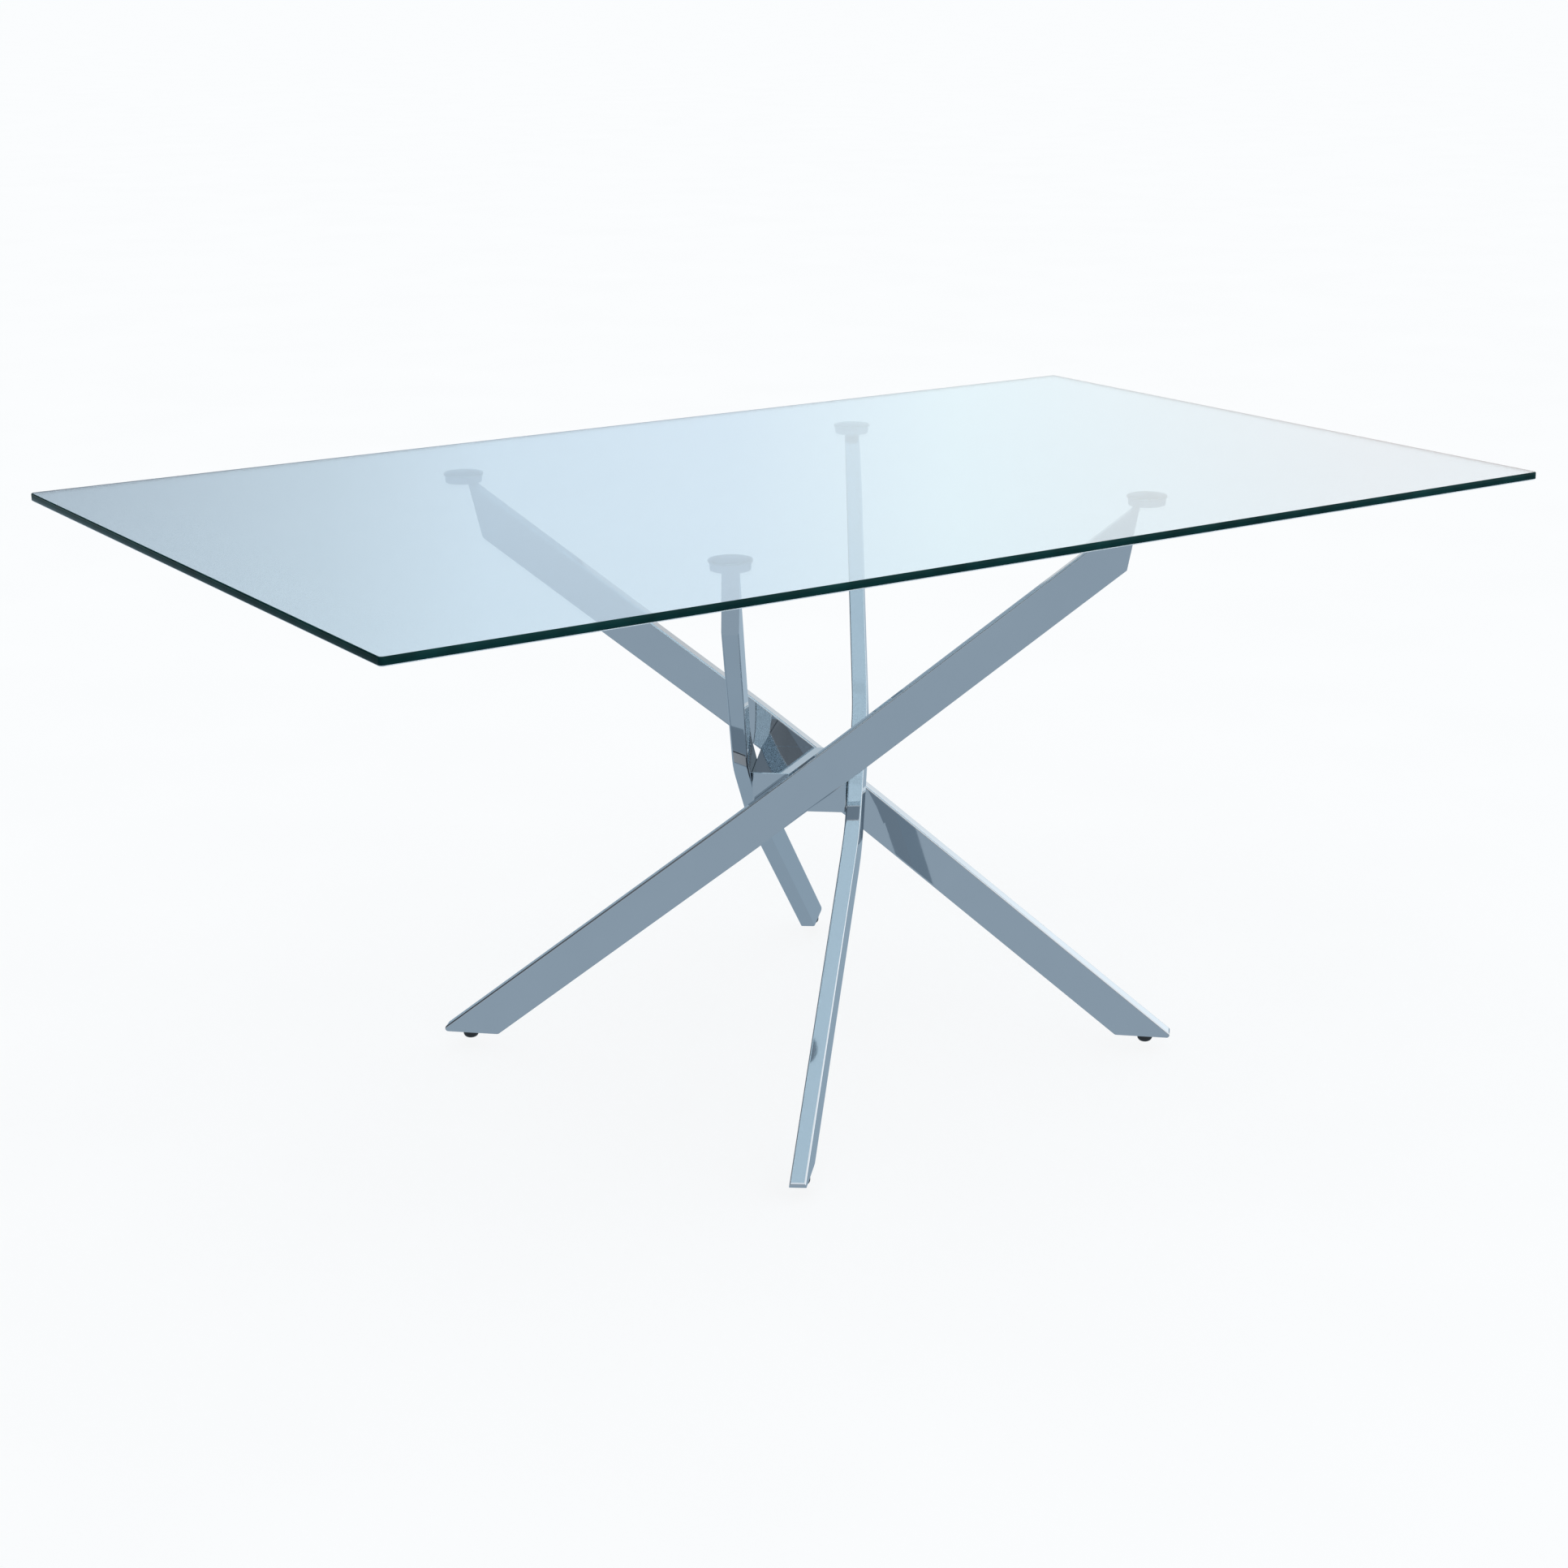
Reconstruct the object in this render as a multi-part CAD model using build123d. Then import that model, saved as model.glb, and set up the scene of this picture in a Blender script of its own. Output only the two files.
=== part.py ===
from build123d import *
import os
from math import atan2, cos, degrees, radians, sin, tan

# Rectangular glass-topped dining table on a four-legged chrome starburst base.
# Millimetres, +Z up. The origin is on the floor under the centre of the top,
# +X runs along the top's long side and -Y is the front.

# --- overall sizes ---------------------------------------------------------
top_length = 1600.0
top_width = 1000.0
table_height = 750.0

# --- glass top -------------------------------------------------------------
glass_thickness = 10.0
glass_corner_radius = 5.0        # corners, seen from above
glass_arris = 1.2                # small polished bevel along every edge

# --- what the glass rests on -----------------------------------------------
pad_diameter = 50.0              # clear soft pad, a little wider than its disc
pad_thickness = 3.0
spigot_diameter = 36.0           # the pad's spigot sits in the disc's recess
spigot_height = 2.0
spigot_clearance = 0.2
disc_diameter = 46.0
disc_thickness = 9.0
disc_edge_radius = 1.5
disc_overhang = 11.5             # disc centre beyond the inner end of the leg's tip

# --- legs ------------------------------------------------------------------
tube_depth = 50.0                # the tube's wide side, which stands on edge
tube_thickness = 20.0
tube_wall = 2.0
tube_corner_radius = 2.5
leg_slope = 38.2                 # degrees above the floor
leg_turn = 4.3                   # degrees of each of the leg's two gentle bends
bend_radius = 800.0
bend_spacing = 190.0             # between the corners that the two bends round off
crossing_height = 361.0          # the middle of every leg and of the hub
base_turn = 5.0                  # the base is turned this far on the top's axes
cross_angle = 93.0               # plan angle at which the two pairs of legs cross
tip_land = 3.5                   # flat on the leg's tip that is welded to its disc
end_lean = 11.5                  # the top end's cut leans this far out of upright
end_corner_radius = 1.5
toe_radius = 4.0
end_plate_thickness = 3.0
foot_plate_thickness = 4.0

# --- hub -------------------------------------------------------------------
hub_width = 120.0                # across the faces that the legs bolt to
hub_height = 50.0
hub_wall = 3.0
hub_corner_radius = 3.0
hub_edge_bevel = 0.6
post_diameter = 12.0             # threaded posts welded into the hub's corners
post_height = 14.0

# --- fasteners -------------------------------------------------------------
bolt_diameter = 8.0              # leg bolts
bolt_clearance = 0.5             # all round, in the hub's and the tubes' walls
thread_clearance = 0.05          # all round, between a plain-modelled thread and its nut
bolt_spacing = 40.0              # between a leg's two bolts, along the leg
bolt_head_width = 13.0
bolt_head_height = 5.3
bolt_proud = 1.5                 # bolt end beyond its threaded plate
washer_diameter = 16.0
washer_thickness = 1.6
thread_plate_length = 80.0
thread_plate_depth = 30.0
thread_plate_thickness = 6.0
screw_diameter = 5.0             # countersunk screws that hold the hub's bottom cover
screw_head_diameter = 9.2
screw_length = 14.0
screw_cover_clearance = 0.3

# --- levelling glides ------------------------------------------------------
glide_height = 9.0               # foot plate above the floor, glide screwed right in
glide_diameter = 20.0
glide_collar = 3.0               # straight part of the glide under the foot plate
glide_flat_diameter = 11.0       # the flat that stands on the floor
glide_travel = 10.0
stud_diameter = 8.0
stud_embedment = 5.0             # stud length moulded into the glide
nut_width = 13.0
nut_height = 6.5
stud_spare = 3.0                 # stud above its nut with the glide screwed right out

# --- sizes that follow -----------------------------------------------------
tip_height = table_height - glass_thickness - pad_thickness - disc_thickness
rise = sin(radians(leg_slope))
run = cos(radians(leg_slope))
turn_slope = tan(radians(leg_turn))
leg_offset = hub_width / 2 + tube_thickness / 2
half_depth = tube_depth / 2
hub_bottom = crossing_height - hub_height / 2
hub_top = crossing_height + hub_height / 2
wall_face = tube_thickness / 2               # tube's outer face against the hub
hub_inner_face = wall_face + hub_wall        # as a distance from the leg's middle
blank_reach = table_height                   # sweeps and cutters reach past both ends
standing = (Align.CENTER, Align.CENTER, Align.MIN)
corners = ("rear_left", "front_left", "front_right", "rear_right")


def bearing(corner):
    """Plan direction, in degrees, in which the leg that stands at this corner rises."""
    first = base_turn - cross_angle / 2
    second = base_turn + cross_angle / 2
    return (first, second, first + 180, second + 180)[corners.index(corner)]


def leg_plane(corner):
    """The leg's own axes: x up along the leg, y level towards the hub, z square to both."""
    angle = radians(bearing(corner))
    along = (cos(angle), sin(angle))
    outward = (sin(angle), -cos(angle))
    return Plane(
        origin=(leg_offset * outward[0], leg_offset * outward[1], crossing_height),
        x_dir=(run * along[0], run * along[1], rise),
        z_dir=(-rise * along[0], -rise * along[1], run),
    )


def along_leg(height, across):
    """Distance up the leg, on the line at this place across its depth, at this height."""
    return (height - crossing_height - across * run) / rise


def sideways(along):
    """How far the leg's middle has swung towards the hub's side, past its bends."""
    return (abs(along) - bend_spacing / 2) * turn_slope


def middle_at(height):
    """Leg-plane point where the leg's middle line, past its bend, meets this height."""
    along = along_leg(height, 0)
    return (along, sideways(along), 0)


def world_point(corner, local):
    """World position of a point given on the leg's own axes."""
    return leg_plane(corner).from_local_coords(Vector(*local))


def upright(corner, local, height):
    """A level plane at this height, over a point given on the leg's own axes."""
    place = world_point(corner, local)
    return Plane(origin=(place.X, place.Y, height), z_dir=(0, 0, 1))


def leg_path():
    """The leg's middle line: straight, a gentle bend, straight, a second bend, straight."""
    knee = bend_spacing / 2
    swing = sideways(blank_reach)
    return FilletPolyline(
        (-blank_reach, swing), (-knee, 0), (knee, 0), (blank_reach, swing), radius=bend_radius
    )


def swept_bar(thickness, depth, corner_radius):
    """A bar of rounded rectangular section along the whole of the leg's middle line."""
    path = leg_path()
    start = Plane(origin=path @ 0, z_dir=path % 0, x_dir=(0, 0, 1))
    section = start * RectangleRounded(depth, thickness, corner_radius)
    return sweep(section, path=path)


def side_outline():
    """The leg's outline from the side, on its own x and z: level foot, leaning top end."""
    land_inner = along_leg(tip_height, half_depth)
    land_outer = (land_inner + tip_land * run, half_depth - tip_land * rise)
    lean = radians(end_lean)
    down = (-sin(lean) * run - cos(lean) * rise, sin(lean) * rise - cos(lean) * run)
    drop = (-half_depth - land_outer[1]) / down[1]
    end_corner = (land_outer[0] + drop * down[0], -half_depth)
    toe = (along_leg(glide_height, half_depth), half_depth)
    heel = (along_leg(glide_height, -half_depth), -half_depth)
    outline = Polyline(toe, (land_inner, half_depth), land_outer, end_corner, heel, close=True)
    face = make_face(outline)
    face = fillet(face.vertices().sort_by_distance((*toe, 0))[0], toe_radius)
    return fillet(face.vertices().sort_by_distance((*end_corner, 0))[0], end_corner_radius)


def trimmed(bar):
    """The bar cut to the leg's side outline, on the leg's own axes."""
    across = blank_reach * turn_slope + tube_thickness
    return bar & extrude(Plane.XZ * side_outline(), across, both=True)


def end_slab(thickness):
    """Everything beyond the plane that lies this far inside the leg's leaning top end."""
    land_inner = along_leg(tip_height, half_depth)
    land_outer = (land_inner + tip_land * run, 0, half_depth - tip_land * rise)
    lean = end_lean + leg_slope
    plane = Plane(origin=land_outer, z_dir=(cos(radians(lean)), 0, -sin(radians(lean))))
    size = 2 * blank_reach * turn_slope + 4 * tube_depth
    return plane * Pos(0, 0, (size - 2 * thickness) / 2) * Box(size, size, size)


def foot_slab(corner):
    """Everything below the top of the leg's level foot plate, on the leg's own axes."""
    size = 6 * tube_depth
    level = upright(corner, middle_at(glide_height), glide_height + foot_plate_thickness)
    slab = level * Pos(0, 0, -size / 2) * Box(size, size, size)
    return leg_plane(corner).to_local_coords(slab)


def leg_bolt_places():
    """Distances along the leg of the two bolts that hold it to the hub."""
    return (-bolt_spacing / 2, bolt_spacing / 2)


def across_leg(radius, start, end):
    """Round bars along the leg's own y, one on each bolt's centre, between two distances."""
    bars = []
    for place in leg_bolt_places():
        axis = Plane(origin=(place, start, 0), z_dir=(0, 1, 0))
        bars.append(axis * extrude(Circle(radius), end - start))
    return bars


def leg_tube(corner, blank, bore):
    """The chromed tube: hollow, cut back for its two end plates, drilled for its bolts."""
    tube = blank - bore - end_slab(end_plate_thickness) - foot_slab(corner)
    for hole in across_leg(bolt_diameter / 2 + bolt_clearance, 0, wall_face + hub_wall):
        tube -= hole
    return tube


def foot_plate(corner, blank):
    """The level plate welded over the tube's lower end, drilled for the glide's stud."""
    plate = blank & foot_slab(corner)
    hole = upright(corner, middle_at(glide_height), 0) * extrude(
        Circle(stud_diameter / 2 + thread_clearance), 2 * tube_depth
    )
    return plate - leg_plane(corner).to_local_coords(hole)


def thread_plate():
    """The threaded backing plate inside the tube, against the wall that meets the hub."""
    inner_face = tube_thickness / 2 - tube_wall
    plate = Box(thread_plate_length, thread_plate_thickness, thread_plate_depth)
    plate = Pos(0, inner_face - thread_plate_thickness / 2, 0) * plate
    for hole in across_leg(bolt_diameter / 2 + thread_clearance, -wall_face, wall_face):
        plate -= hole
    return plate


def leg_bolts():
    """The leg's two hexagon bolts, with their heads inside the hub."""
    end = tube_thickness / 2 - tube_wall - thread_plate_thickness - bolt_proud
    head_face = hub_inner_face + washer_thickness
    shanks = across_leg(bolt_diameter / 2, end, head_face)
    head = extrude(RegularPolygon(bolt_head_width / 2, 6, major_radius=False), bolt_head_height)
    bolts = []
    for place, shank in zip(leg_bolt_places(), shanks):
        bolts.append(shank + Plane(origin=(place, head_face, 0), z_dir=(0, 1, 0)) * head)
    return bolts


def leg_washers():
    """The washers under the heads of the leg's bolts."""
    end = hub_inner_face + washer_thickness
    discs = across_leg(washer_diameter / 2, hub_inner_face, end)
    holes = across_leg(bolt_diameter / 2 + bolt_clearance / 2, hub_inner_face, end)
    return [disc - hole for disc, hole in zip(discs, holes)]


def disc_plane(corner, height):
    """A level plane on the axis of the leg's support disc."""
    angle = radians(bearing(corner))
    tip = along_leg(tip_height, half_depth)
    place = world_point(corner, (tip, sideways(tip), half_depth))
    swing = angle + atan2(turn_slope, run)
    centre = (place.X + disc_overhang * cos(swing), place.Y + disc_overhang * sin(swing), height)
    return Plane(origin=centre, z_dir=(0, 0, 1))


def support_disc(corner):
    """The steel disc welded to the leg's tip, recessed on top for the pad's spigot."""
    disc = extrude(Circle(disc_diameter / 2), disc_thickness)
    disc = fillet(disc.edges().group_by(Axis.Z)[0], disc_edge_radius)
    recess_radius = spigot_diameter / 2 + spigot_clearance
    recess = extrude(Circle(recess_radius), spigot_height + spigot_clearance)
    disc -= Pos(0, 0, disc_thickness - spigot_height - spigot_clearance) * recess
    return disc_plane(corner, tip_height) * disc


def clear_pad(corner):
    """The clear soft pad between a disc and the glass."""
    flange = extrude(Circle(pad_diameter / 2), pad_thickness)
    spigot = Pos(0, 0, -spigot_height) * extrude(Circle(spigot_diameter / 2), spigot_height)
    return disc_plane(corner, tip_height + disc_thickness) * (flange + spigot)


def glass_top():
    """The tempered glass top, its edges polished with a small bevel."""
    sheet = extrude(RectangleRounded(top_length, top_width, glass_corner_radius), glass_thickness)
    edges = sheet.edges().group_by(Axis.Z)
    sheet = chamfer(edges[0] + edges[-1], glass_arris)
    return Pos(0, 0, table_height - glass_thickness) * sheet


def hub_point(across_first, across_second):
    """Plan point at these distances from the hub's axis towards its first two faces."""
    first = radians(bearing(corners[0]))
    second = radians(bearing(corners[1]))
    spread = sin(second - first)
    x = (across_second * cos(first) - across_first * cos(second)) / spread
    y = (across_second * sin(first) - across_first * sin(second)) / spread
    return (x, y)


def hub_outline(inset):
    """The hub's four-sided outline, this far inside its outer faces."""
    half = hub_width / 2 - inset
    signs = ((1, 1), (1, -1), (-1, -1), (-1, 1))
    outline = make_face(Polyline(*[hub_point(a * half, b * half) for a, b in signs], close=True))
    if inset < hub_corner_radius:
        outline = fillet(outline.vertices(), hub_corner_radius - inset)
    return outline


def hub_plate(height):
    """A flat plate of the hub's whole outline, from this height up."""
    return Pos(0, 0, height) * extrude(hub_outline(0), hub_wall)


def hub_posts_at(height, shape):
    """Copies of a shape on the axes of the hub's four corner posts."""
    reach = hub_width / 2 - hub_wall - post_diameter / 2
    places = [hub_point(a * reach, b * reach) for a in (1, -1) for b in (1, -1)]
    return [Pos(x, y, height) * shape for x, y in places]


def hub_shell():
    """The hub's four walls, drilled for the bolts of all four legs."""
    height = hub_height - 2 * hub_wall
    walls = extrude(hub_outline(0), height) - extrude(hub_outline(hub_wall), height)
    walls = Pos(0, 0, hub_bottom + hub_wall) * walls
    for corner in corners:
        for hole in across_leg(bolt_diameter / 2 + bolt_clearance, 0, 2 * hub_inner_face):
            walls -= leg_plane(corner) * hole
    return walls


def hub_top_plate():
    """The hub's welded top plate, its outer edge lightly bevelled."""
    plate = hub_plate(hub_top - hub_wall)
    return chamfer(plate.edges().group_by(Axis.Z)[-1], hub_edge_bevel)


def screw_head():
    """A right-angled countersunk head, its flat face at height zero."""
    head_depth = (screw_head_diameter - screw_diameter) / 2
    return Cone(screw_head_diameter / 2, screw_diameter / 2, head_depth, align=standing)


def hub_screw():
    """A countersunk screw that points up, with its flat head at height zero."""
    return screw_head() + extrude(Circle(screw_diameter / 2), screw_length)


def hub_bottom_cover():
    """The screwed cover that closes the hub once its bolts are tight."""
    plate = chamfer(hub_plate(hub_bottom).edges().group_by(Axis.Z)[0], hub_edge_bevel)
    hole = screw_head() + extrude(Circle(screw_diameter / 2 + screw_cover_clearance), hub_wall)
    for cutter in hub_posts_at(hub_bottom, hole):
        plate -= cutter
    return plate


def hub_posts():
    """The four threaded posts inside the hub's corners."""
    post = extrude(Circle(post_diameter / 2), post_height)
    post -= extrude(Circle(screw_diameter / 2 + thread_clearance), post_height)
    return hub_posts_at(hub_bottom + hub_wall, post)


def glide(corner):
    """The black moulded glide: a short collar, domed under, with a small flat to stand on."""
    radius = glide_diameter / 2
    flat = glide_flat_diameter / 2
    shoulder = glide_height - glide_collar
    dome = TangentArc((radius, shoulder), (flat, 0), tangent=(0, -1))
    rim = Polyline((radius, shoulder), (radius, glide_height), (0, glide_height), (0, 0), (flat, 0))
    body = revolve(Plane.XZ * make_face([dome, rim]), Axis.Z)
    socket = extrude(Circle(stud_diameter / 2), stud_embedment)
    body -= Pos(0, 0, glide_height - stud_embedment) * socket
    return upright(corner, middle_at(glide_height), 0) * body


def glide_stud(corner):
    """The glide's steel stud, moulded into it and screwed through the foot plate's nut."""
    length = stud_embedment + foot_plate_thickness + nut_height + glide_travel + stud_spare
    stud = extrude(Circle(stud_diameter / 2), length)
    return upright(corner, middle_at(glide_height), glide_height - stud_embedment) * stud


def glide_nut(corner):
    """The nut welded on the inside of the foot plate."""
    nut = extrude(RegularPolygon(nut_width / 2, 6, major_radius=False), nut_height)
    nut -= extrude(Circle(stud_diameter / 2 + thread_clearance), nut_height)
    level = upright(corner, middle_at(glide_height), glide_height + foot_plate_thickness)
    turned = Plane(origin=level.origin, x_dir=Vector(1, 0, 0).rotate(Axis.Z, bearing(corner)),
                   z_dir=(0, 0, 1))
    return turned * nut


def save(shape, node):
    """Write one node: a single solid, or a group of separate identical ones."""
    if isinstance(shape, list):
        shape = Compound(children=shape)
    export_step(shape, f"parts/{node}.step")
    print(f"{node}: {shape.volume / 1000:.1f} cm3")


os.makedirs("parts", exist_ok=True)

blank = trimmed(swept_bar(tube_thickness, tube_depth, tube_corner_radius))
bore = swept_bar(
    tube_thickness - 2 * tube_wall, tube_depth - 2 * tube_wall, tube_corner_radius - tube_wall
)
end_plate = blank & end_slab(end_plate_thickness)

for corner in corners:
    place = leg_plane(corner)
    save(place * leg_tube(corner, blank, bore), f"leg_tube_{corner}")
    save(place * end_plate, f"leg_end_plate_{corner}")
    save(place * foot_plate(corner, blank), f"leg_foot_plate_{corner}")
    save(place * thread_plate(), f"leg_thread_plate_{corner}")
    save(support_disc(corner), f"support_disc_{corner}")
    save(clear_pad(corner), f"clear_pad_{corner}")
    save(glide(corner), f"glide_{corner}")
    save(glide_stud(corner), f"glide_stud_{corner}")

save(glass_top(), "glass_top")
save(hub_shell(), "hub_shell")
save(hub_top_plate(), "hub_top_plate")
save(hub_bottom_cover(), "hub_bottom_cover")
save(hub_posts(), "hub_posts")
save(hub_posts_at(hub_bottom, hub_screw()), "hub_cover_screws")
save([leg_plane(corner) * bolt for corner in corners for bolt in leg_bolts()], "leg_bolts")
save([leg_plane(corner) * washer for corner in corners for washer in leg_washers()], "leg_washers")
save([glide_nut(corner) for corner in corners], "glide_nuts")

glide_middle = world_point(corners[0], middle_at(glide_height))
disc_middle = disc_plane(corners[0], tip_height).origin
print(f"glide centre {glide_middle.X:.2f} {glide_middle.Y:.2f}")
print(f"disc centre {disc_middle.X:.2f} {disc_middle.Y:.2f}")
print(f"leg leans out to {degrees(atan2(turn_slope, run)):.2f} degrees in plan past its bend")
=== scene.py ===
"""The looks of a rectangular glass-topped dining table on a chromed four-leg base."""

import logging
import math
from dataclasses import dataclass
from enum import Enum
from typing import Any

import bmesh
import bpy
from mathutils import Matrix, Vector


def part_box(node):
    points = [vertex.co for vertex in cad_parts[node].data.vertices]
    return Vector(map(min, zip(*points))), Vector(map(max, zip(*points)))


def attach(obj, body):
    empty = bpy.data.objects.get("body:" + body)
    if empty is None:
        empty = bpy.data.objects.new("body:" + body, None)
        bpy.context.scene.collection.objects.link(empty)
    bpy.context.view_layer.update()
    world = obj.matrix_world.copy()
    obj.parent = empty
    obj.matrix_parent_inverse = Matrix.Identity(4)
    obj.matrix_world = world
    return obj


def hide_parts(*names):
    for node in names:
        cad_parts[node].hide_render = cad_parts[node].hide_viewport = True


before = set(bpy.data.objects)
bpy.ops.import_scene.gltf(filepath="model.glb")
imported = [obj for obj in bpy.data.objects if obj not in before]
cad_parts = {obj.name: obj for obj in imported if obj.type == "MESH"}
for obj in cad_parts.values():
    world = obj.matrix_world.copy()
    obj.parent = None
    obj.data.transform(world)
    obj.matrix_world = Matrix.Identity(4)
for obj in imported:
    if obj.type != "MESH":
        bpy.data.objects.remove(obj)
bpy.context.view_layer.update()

MM = 0.001
CORNERS = ("rear_left", "front_left", "front_right", "rear_right")
SHARP_ANGLE = 40.0  # degrees; a turned piece's edges are sharp where they turn more
BUMP_HEIGHT = 0.1 * MM  # how far a bump texture rises
WAVE_LENGTH = 0.314  # a wave texture's wavelength at scale one
NOISE_SPAN = (0.3, 0.7)  # where most of a noise texture's values lie

RGB = tuple[float, float, float]
RGBA = tuple[float, float, float, float]
Span = tuple[float, float]

log = logging.getLogger("glass_table")


class Body(Enum):
    """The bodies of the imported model, without the corner's name on the glides."""

    TABLE = "table"
    GLIDE = "glide_"


class Slot(Enum):
    """The record's material slots."""

    GLASS = "glass"
    CHROME = "chrome"
    PAD = "clear_pad"
    PLASTIC = "black_plastic"
    ZINC = "zinc_steel"


def linear(code: str) -> RGBA:
    """Turn a colour's sRGB hex code into a linear one.

    Args:
        code: The colour as "#rrggbb".

    Returns:
        Red, green, blue and an alpha of one.
    """
    parts = [int(code[i:i + 2], 16) / 255 for i in (1, 3, 5)]
    red, green, blue = (c / 12.92 if c <= 0.04045 else ((c + 0.055) / 1.055) ** 2.4 for c in parts)
    return (red, green, blue, 1.0)


def add_node(tree: Any, kind: str, inputs: dict | None = None, **settings: Any) -> Any:
    """Add a node, set it up and link it.

    Args:
        tree: The node tree that gets the node.
        kind: The node's type name.
        inputs: For each input, by name or number, a value or the socket that feeds it.
        **settings: The node's own properties.

    Returns:
        The new node.
    """
    node = tree.nodes.new(kind)
    for name, value in settings.items():
        setattr(node, name, value)
    for key, value in (inputs or {}).items():
        if isinstance(value, bpy.types.NodeSocket):
            tree.links.new(value, node.inputs[key])
        else:
            node.inputs[key].default_value = value
    return node


def blended(tree: Any, share: Any, first: Any, second: Any) -> Any:
    """Mix two colours.

    Args:
        tree: The node tree.
        share: The socket with the second colour's share.
        first: The first linear colour, or its socket.
        second: The second linear colour, or its socket.

    Returns:
        The socket of the mixed colour.
    """
    return add_node(tree, "ShaderNodeMix", {0: share, 6: first, 7: second},
                    data_type="RGBA").outputs[2]


def ranged(tree: Any, value: Any, source: Span, target: Span = (0.0, 1.0), **settings: Any) -> Any:
    """Map a number from one range to another.

    Args:
        tree: The node tree.
        value: The number's socket.
        source: The two values that the number runs between.
        target: What they become.
        **settings: The node's own properties.

    Returns:
        The socket of the mapped number.
    """
    return add_node(tree, "ShaderNodeMapRange",
                    {0: value, 1: source[0], 2: source[1], 3: target[0], 4: target[1]},
                    **settings).outputs[0]


def worked(tree: Any, operation: str, first: Any, second: Any) -> Any:
    """Combine two numbers.

    Args:
        tree: The node tree.
        operation: The Math node's operation.
        first: The first number, or its socket.
        second: The second number, or its socket.

    Returns:
        The socket of the result.
    """
    return add_node(tree, "ShaderNodeMath", {0: first, 1: second}, operation=operation).outputs[0]


# --- finishes --------------------------------------------------------------


@dataclass(frozen=True)
class Finish:
    """What every finish has: a name, a slot if the record knows it, and a material tree."""

    name: str
    slot: Slot | None = None

    def start(self) -> tuple[Any, Any, Any]:
        """Make the material with an empty tree.

        Returns:
            The material, its tree and the socket of the Object coordinates.
        """
        material = bpy.data.materials.new(self.name)
        material.use_nodes = True
        tree = material.node_tree
        tree.nodes.clear()
        place = add_node(tree, "ShaderNodeTexCoord").outputs["Object"]
        return material, tree, place

    def end(self, tree: Any, shader: Any) -> None:
        """Link the shader to the material's output."""
        add_node(tree, "ShaderNodeOutputMaterial", {"Surface": shader.outputs[0]})


@dataclass(frozen=True)
class ChromePlate(Finish):
    """Bright chrome over polished steel: a cool mirror with a trace of orange peel."""

    tone: str = "#c4c8cc"
    deep_tone: str = "#c0c4c8"
    peel: float = 4.0 * MM
    cloud: float = 60.0 * MM
    cloud_span: Span = (0.35, 0.75)
    gloss: Span = (0.02, 0.05)
    glancing_tint: str = "#e0e6ea"

    def make(self) -> Any:
        """Build the material: polishing clouds in the gloss, orange peel in the bump."""
        material, tree, place = self.start()
        clouds = add_node(tree, "ShaderNodeTexNoise",
                          {"Vector": place, "Scale": 1 / self.cloud, "Detail": 4.0})
        tint = blended(tree, clouds.outputs[0], linear(self.deep_tone), linear(self.tone))
        gloss = ranged(tree, clouds.outputs[0], self.cloud_span, self.gloss)
        peel = add_node(tree, "ShaderNodeTexNoise",
                        {"Vector": place, "Scale": 1 / self.peel, "Detail": 1.0})
        bump = add_node(tree, "ShaderNodeBump",
                        {"Height": peel.outputs[0], "Strength": 0.02, "Distance": BUMP_HEIGHT})
        shader = add_node(tree, "ShaderNodeBsdfPrincipled",
                          {"Base Color": tint, "Metallic": 1.0,
                           "Specular Tint": linear(self.glancing_tint),
                           "Roughness": gloss, "Normal": bump.outputs[0]})
        self.end(tree, shader)
        return material


@dataclass(frozen=True)
class FloatGlass(Finish):
    """Clear tempered float glass: near white, with the long shallow wave of the rollers."""

    tint: str = "#cde1eb"
    deep_tint: str = "#c9dee9"
    roller_wave: float = 280.0 * MM
    smear: float = 90.0 * MM

    def make(self) -> Any:
        """Build the material: tint clouds, a roller wave in the bump and a mirror coat."""
        material, tree, place = self.start()
        clouds = add_node(tree, "ShaderNodeTexNoise",
                          {"Vector": place, "Scale": 1 / self.smear, "Detail": 3.0})
        tint = blended(tree, clouds.outputs[0], linear(self.deep_tint), linear(self.tint))
        wave = add_node(tree, "ShaderNodeTexWave",
                        {"Vector": place, "Scale": WAVE_LENGTH / self.roller_wave,
                         "Distortion": 0.6},
                        bands_direction="X", wave_profile="SIN")
        bump = add_node(tree, "ShaderNodeBump",
                        {"Height": wave.outputs["Fac"], "Strength": 0.05, "Distance": BUMP_HEIGHT})
        shader = add_node(tree, "ShaderNodeBsdfPrincipled",
                          {"Base Color": tint, "Roughness": 0.0, "IOR": 1.5,
                           "Transmission Weight": 1.0, "Coat Weight": 1.0, "Coat Roughness": 0.0,
                           "Coat IOR": 1.5, "Normal": bump.outputs[0]})
        self.end(tree, shader)
        return material


@dataclass(frozen=True)
class PolishedEdge(Finish):
    """The polished edge of float glass, which shows the depth of the sheet as dark teal."""

    tone: str = "#051416"
    light_tone: str = "#12403f"
    streak: float = 35.0 * MM

    def make(self) -> Any:
        """Build the material: long faint streaks of the two teals."""
        material, tree, place = self.start()
        streaks = add_node(tree, "ShaderNodeTexNoise",
                           {"Vector": place, "Scale": 1 / self.streak, "Detail": 3.0})
        tint = blended(tree, streaks.outputs[0], linear(self.tone), linear(self.light_tone))
        shader = add_node(tree, "ShaderNodeBsdfPrincipled",
                          {"Base Color": tint, "Roughness": 0.08, "IOR": 1.5,
                           "Specular IOR Level": 0.03})
        self.end(tree, shader)
        return material


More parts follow.
